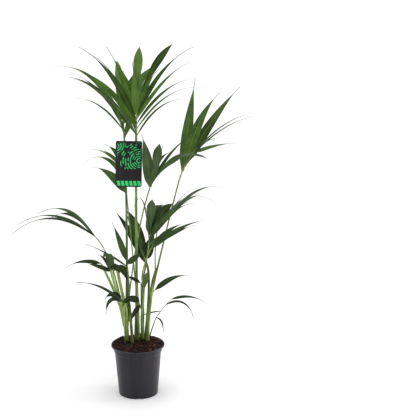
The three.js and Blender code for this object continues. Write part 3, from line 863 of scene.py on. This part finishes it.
CANE_LOOKS = [
    stalk_look("pale sheath", srgb(144, 164, 72), srgb(86, 114, 44), 0.235),
    stalk_look("green sheath", srgb(121, 140, 54), srgb(56, 80, 26), 0.24),
    stalk_look("deep sheath", srgb(94, 115, 42), srgb(38, 58, 18), 0.245),
]
PETIOLE_LOOKS = [
    stalk_look("pale petiole", srgb(158, 180, 98), srgb(118, 148, 66), 0.205),
    stalk_look("green petiole", srgb(122, 146, 62), srgb(82, 108, 40), 0.205),
    stalk_look("deep petiole", srgb(94, 118, 48), srgb(58, 80, 30), 0.205),
]
cane_piece = canes.mesh("canes", CANE_LOOKS)
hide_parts(*[f"stem_{name}" for name in STEMS])
petiole_piece = petioles.mesh("petioles", PETIOLE_LOOKS)
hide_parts(*[f"stalk_{name}" for name, leaf in FRONDS.items() if leaf["stalk"]])

# %% [markdown]
# ## Leaflets
# A leaflet is a long blade, folded a little along its raised midrib, narrow where it joins the
# rachis, widest near its middle and drawn out to a thread. Each is a closed thin skin of rings, so
# that it has an upper side, a paler underside and an edge. Its upper side looks the way the blade
# does while it stands up, and turns to the sky as it arches over.

# %% One leaflet
BLADE_STEPS = 26
# Where a ring's corners lie across the blade, from one edge under the blade and back over it.
ACROSS = np.array([1, 0.62, 0.08, -0.08, -0.62, -1, -0.72, -0.42, -0.09, 0, 0.09, 0.42, 0.72])
UNDER = 5
THICKNESS = 0.32


def blade_rings(points, along, front, sky, width, swelling, tail, twist):
    u = np.linspace(0, 1, len(points))
    flatness = (1 - np.maximum(along[:, 2], 0))[:, None]
    side = unit(np.cross(along, front * (1 - flatness) + sky * flatness))
    lift = np.cross(side, along)
    turn = twist * (u - 0.15)
    side, lift = (side * np.cos(turn)[:, None] + lift * np.sin(turn)[:, None],
                  lift * np.cos(turn)[:, None] - side * np.sin(turn)[:, None])
    blade = np.minimum(u / (1 - tail), 1)
    swell = np.sin(np.pi * (0.1 + 0.9 * blade) ** swelling) * (0.5 + 0.5 * smooth(0, 0.14, u))
    half = np.maximum(0.52 * width * swell, 1.6 - 0.8 * u)
    fold = np.radians(9 + 20 * np.exp(-u / 0.12) - 6 * u)
    s = ACROSS[None, :]
    height = -np.tan(fold)[:, None] * np.abs(s) * half[:, None]
    body = THICKNESS * (1 - np.abs(s) ** 4) * np.minimum(1, half / 2)[:, None]
    rib = 0.42 * np.exp(-(s / 0.07) ** 2) * (1 - 0.8 * u)[:, None]
    rib += 0.16 * np.exp(-((np.abs(s) - 0.42) / 0.12) ** 2) * (1 - u)[:, None]
    above = np.arange(len(ACROSS))[None, :] > UNDER
    height = height + np.where(above, body + rib, -body - 0.8 * rib)
    reach = (s * half[:, None])[..., None]
    return points[:, None, :] + reach * side[:, None, :] + height[..., None] * lift[:, None, :]


# %% All the leaflets of a frond
FIRST_LEAFLET = 4
RUFFLE = 0.15
TWIST = 0.15
POINTED, BLUNT = 0.8, 2.2
LIGHT_TILT = 40
# A leaflet that heads this nearly to where its blade faces bends over its back instead of twisting.
FORWARD = 0.8
TINTS = ("fresh", "green", "old")


def leaflet_rings(leaf):
    """The rings of each leaflet of a frond, from its foot to its tip."""
    start = aim(leaf["lean"], leaf["toward"])
    look = aim(90, leaf["face"])
    normal = unit(look - start * look.dot(start))
    aside = np.cross(start, normal)
    sky = UP if leaf["light"] is None else aim(LIGHT_TILT, leaf["light"])
    spine = spine_of(leaf)
    steps = np.arange(len(spine))
    count = len(leaf["fan"])
    fold = math.radians(leaf["fold"])
    for number, angle in enumerate(leaf["fan"]):
        order = number / (count - 1) if count > 1 else 1
        first = FIRST_LEAFLET / leaf["length"]
        spot = (first + (1 - first) * order) * steps[-1]
        root = np.array([np.interp(spot, steps, spine[:, axis]) for axis in range(3)])
        out = math.sin(math.radians(angle))
        ruffle = RUFFLE * (1 if number % 2 else -1) if count > 1 else 0
        direction = unit(start * math.cos(math.radians(angle)) + aside * out * math.cos(fold)
                         + normal * (ruffle - abs(out) * math.sin(fold)))
        points, along = course(
            root, direction, leaf["reach"][number], leaf["droop"][number], BLADE_STEPS)
        front = -normal if unit(direction * [1, 1, 0]).dot(normal) > FORWARD else normal
        swelling, tail = (BLUNT, 0) if number in leaf["blunt"] else (POINTED, leaf["tail"])
        yield blade_rings(points, along, front, sky, leaf["width"][number], swelling, tail,
                          rng.normal(scale=TWIST))


piles = {tint: Skins() for tint in TINTS}
SHADES = 3
UNDERSIDE, TIP = SHADES, SHADES + 1
blade_around = (ACROSS + 1) / 2
for leaf in FRONDS.values():
    for number, rings in enumerate(leaflet_rings(leaf)):
        looks = np.full((BLADE_STEPS, len(ACROSS)), int(rng.integers(SHADES)))
        looks[:, :UNDER] = UNDERSIDE
        looks[-1:] = TIP
        piles[leaf["tint"]].add(rings, looks=looks, around=np.append(blade_around, blade_around[0]))


# %% [markdown]
# The upper side is a deep green with fine lengthwise veins and a paler midrib, the underside is
# greyer, and the thread at the tip has dried to straw. Young fronds are a brighter, yellower green
# than old ones, so each frond has one of three tints, and each of its leaflets one of three shades.

# %% Leaf finishes
VEINS = 40
UPPER_ROUGHNESS, UNDER_ROUGHNESS = 0.42, 0.55


def leaf_look(name, deep, light, rib, roughness):
    material, wire, shader = start_material(name, roughness=roughness, Specular_IOR_Level=0.16)
    across, along = on_blade(wire)
    where = place(wire)
    off_middle = (across - 0.5).size()
    lines = (across * (VEINS * 2 * math.pi)).math("SINE")
    cloud = noise(where, 22, 3)
    tone = (0.5 + 0.14 * lines + 1.3 * (cloud - 0.5)).ramp(0.15, 0.85)
    body = tone.between(deep, light)
    midrib = 1 - off_middle.ramp(0.012, 0.04)
    body = (midrib * 0.6).between(body, rib)
    foot = 1 - along.ramp(0.0, 0.08)
    feed((foot * 0.5).between(body, rib), shader, "Base Color")
    feed(roughness - 0.06 + 0.12 * cloud, shader, "Roughness")
    bump(lines, shader, 0.2, 0.0002)
    return material


def shade(values, factor):
    return srgb(*[min(value * factor, 255) for value in values])


# Screen colours: the deep and the light tone of the upper side, its rib, and the underside.
LEAF_COLOURS = {
    "fresh": ((40, 68, 14), (72, 104, 28), (118, 140, 60), (64, 96, 32), (90, 120, 50)),
    "green": ((42, 68, 22), (74, 106, 40), (116, 138, 66), (64, 92, 40), (90, 118, 60)),
    "old": ((26, 45, 16), (56, 79, 35), (96, 114, 62), (52, 72, 38), (76, 98, 56)),
}
# How dark or light the three shades of each tint are.
LEAF_SHADES = {
    "fresh": (0.82, 1.0, 1.18),
    "green": (0.84, 1.02, 1.2),
    "old": (0.64, 0.88, 1.16),
}
dry_tip = bark("dry tip", srgb(92, 96, 60), srgb(120, 118, 80))
for tint, pile in piles.items():
    deep, light, rib, under_deep, under_light = LEAF_COLOURS[tint]
    rib = srgb(*rib)
    looks = [leaf_look(f"{tint} leaf {number}", shade(deep, factor), shade(light, factor), rib,
                       UPPER_ROUGHNESS) for number, factor in enumerate(LEAF_SHADES[tint])]
    looks.append(leaf_look(f"{tint} underside", srgb(*under_deep), srgb(*under_light), rib,
                           UNDER_ROUGHNESS))
    piece = pile.mesh(f"leaflets_{tint}", [*looks, dry_tip])
    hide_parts(*[f"frond_{name}" for name, leaf in FRONDS.items() if leaf["tint"] == tint])

# %% [markdown]
# ## The tag
# A hang tag is a thin plastic card with rounded corners and a hole for its loop. A plane is sized,
# its corners are bevelled and it is cut into strips, so that it can bow a little.

# %% The card
TAG_WIDTH, TAG_HEIGHT = 85.0, 152.0
TAG_CENTRE = (-21.0, -34.45, 804.0)
TAG_TURN = math.radians(1.5)
TAG_ROUNDING = 6
TAG_STRIPS = 12
TAG_BOW = 0.9
TAG_THICKNESS = 0.7
HOLE_RADIUS = 2.6
HOLE_ACROSS = 3.2
bpy.ops.object.select_all(action="DESELECT")
bpy.ops.mesh.primitive_plane_add(size=1, rotation=(math.pi / 2, 0, 0))
card = bpy.context.object
card.name = "tag_print"
card.scale = (TAG_WIDTH * MM, TAG_HEIGHT * MM, 1)
bpy.ops.object.transform_apply(location=True, rotation=True, scale=True)
bpy.ops.object.mode_set(mode="EDIT")
bpy.ops.mesh.select_all(action="SELECT")
bpy.ops.mesh.bevel(offset=TAG_ROUNDING * MM, segments=8, affect="VERTICES")
for step in range(1, TAG_STRIPS):
    bpy.ops.mesh.select_all(action="SELECT")
    across = (step / TAG_STRIPS - 0.5) * TAG_WIDTH * MM
    bpy.ops.mesh.bisect(plane_co=(across, 0, 0), plane_no=(1, 0, 0))
bpy.ops.object.mode_set(mode="OBJECT")
for vertex in card.data.vertices:
    vertex.co.y -= TAG_BOW * MM * (1 - (2 * vertex.co.x / (TAG_WIDTH * MM)) ** 2)
thick = card.modifiers.new("thick", "SOLIDIFY")
thick.thickness = TAG_THICKNESS * MM
thick.offset = 0
bpy.ops.object.modifier_apply(modifier=thick.name)
bpy.ops.mesh.primitive_cylinder_add(
    vertices=24, radius=HOLE_RADIUS * MM, depth=20 * MM, rotation=(math.pi / 2, 0, 0),
    location=((HOLE_ACROSS - TAG_CENTRE[0]) * MM, 0, 62 * MM))
punch = bpy.context.object
bpy.ops.object.select_all(action="DESELECT")
card.select_set(True)
bpy.context.view_layer.objects.active = card
hole = card.modifiers.new("hole", "BOOLEAN")
hole.operation = "DIFFERENCE"
hole.object = punch
bpy.ops.object.modifier_apply(modifier=hole.name)
bpy.data.objects.remove(punch)
card.rotation_euler = (0, TAG_TURN, 0)
card.location = [value * MM for value in TAG_CENTRE]
bpy.ops.object.transform_apply(location=True, rotation=True, scale=True)
bpy.ops.object.shade_smooth_by_angle(angle=math.radians(30))
print("card faces:", len(card.data.polygons))

# %% [markdown]
# The print is made of shader arithmetic: ripples round two points on the upper part and a row of
# blocks along the foot, in one green ink on black. Only the front is printed, and the black is
# scuffed to grey on the left.

# %% Its print
card_look, wire, shader = start_material("printed card", roughness=0.4, Specular_IOR_Level=0.25)
where = place(wire)
x = where.node("SeparateXYZ", {}, {0: where}) * 1000 - TAG_CENTRE[0]
z = where.node("SeparateXYZ", {}, {0: where}, out=2) * 1000 - TAG_CENTRE[2]
across_card = x * math.cos(TAG_TURN) - z * math.sin(TAG_TURN)
up_card = z * math.cos(TAG_TURN) + x * math.sin(TAG_TURN)


def ripples(centre_across, centre_up, spacing, reach):
    """Rings about one point of the card, out to `reach`, thick and thin in turns."""
    off_across = across_card - centre_across
    off_up = up_card - centre_up
    distance = (off_across * off_across + off_up * off_up).math("SQRT")
    wobble = noise(where, 45, 2)
    ring = ((distance / spacing + wobble).math("FRACT") - 0.5).size()
    return (ring < 0.07 + 0.27 * noise(where, 60, 1)) * (distance < reach)


broken = noise(where, 75, 2) > 0.46
upper_part = (up_card > -16) * (up_card < 71) * (across_card.size() < 38)
arcs = ripples(34, 12, 7.5, 62).math("MAXIMUM", ripples(-40, 58, 7.5, 30)) * upper_part * broken
foot_band = (up_card < -56) * (up_card > -72) * (across_card.size() < 40)
blocks = ((across_card / 13.3 + up_card / 60).math("FRACT") - 0.5).size() < 0.36
facing = where.node("TexCoord", out=1)
front_face = facing.node("SeparateXYZ", {}, {0: facing}, out=1) < -0.5
ink = arcs.math("MAXIMUM", foot_band * blocks) * front_face
scuffs = noise(stretched(where, 1, 1, 0.1), 260, 3)
worn = scuffs.ramp(0.5, 0.8) * (1 - across_card.ramp(-30, -5))
black = (scuffs * 0.2 + worn * 0.8).between(srgb(12, 12, 15), srgb(52, 50, 51))
feed(ink.between(black, srgb(54, 208, 112)), shader, "Base Color")
feed(0.34 + 0.25 * scuffs, shader, "Roughness")
card.data.materials.append(card_look)
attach(card, "root")
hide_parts("tag_card")

# %% [markdown]
# The loop is a thin ring round the tallest petiole, at the height of the card's hole and a little
# behind the card.

# %% The loop
bpy.ops.object.select_all(action="DESELECT")
bpy.ops.mesh.primitive_torus_add(
    major_radius=10 * MM, minor_radius=0.9 * MM, major_segments=48, minor_segments=10,
    location=(HOLE_ACROSS * MM, -22.4 * MM, 866 * MM))
loop = bpy.context.object
loop.name = "tag_loop"
bpy.ops.object.transform_apply(location=True, rotation=True, scale=True)
bpy.ops.object.shade_smooth_by_angle(angle=math.radians(60))
loop_look, wire, shader = start_material("loop plastic", roughness=0.35)
feed(noise(place(wire), 300).between(srgb(24, 24, 26), srgb(38, 38, 40)), shader, "Base Color")
loop.data.materials.append(loop_look)
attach(loop, "root")
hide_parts("tag_strap")
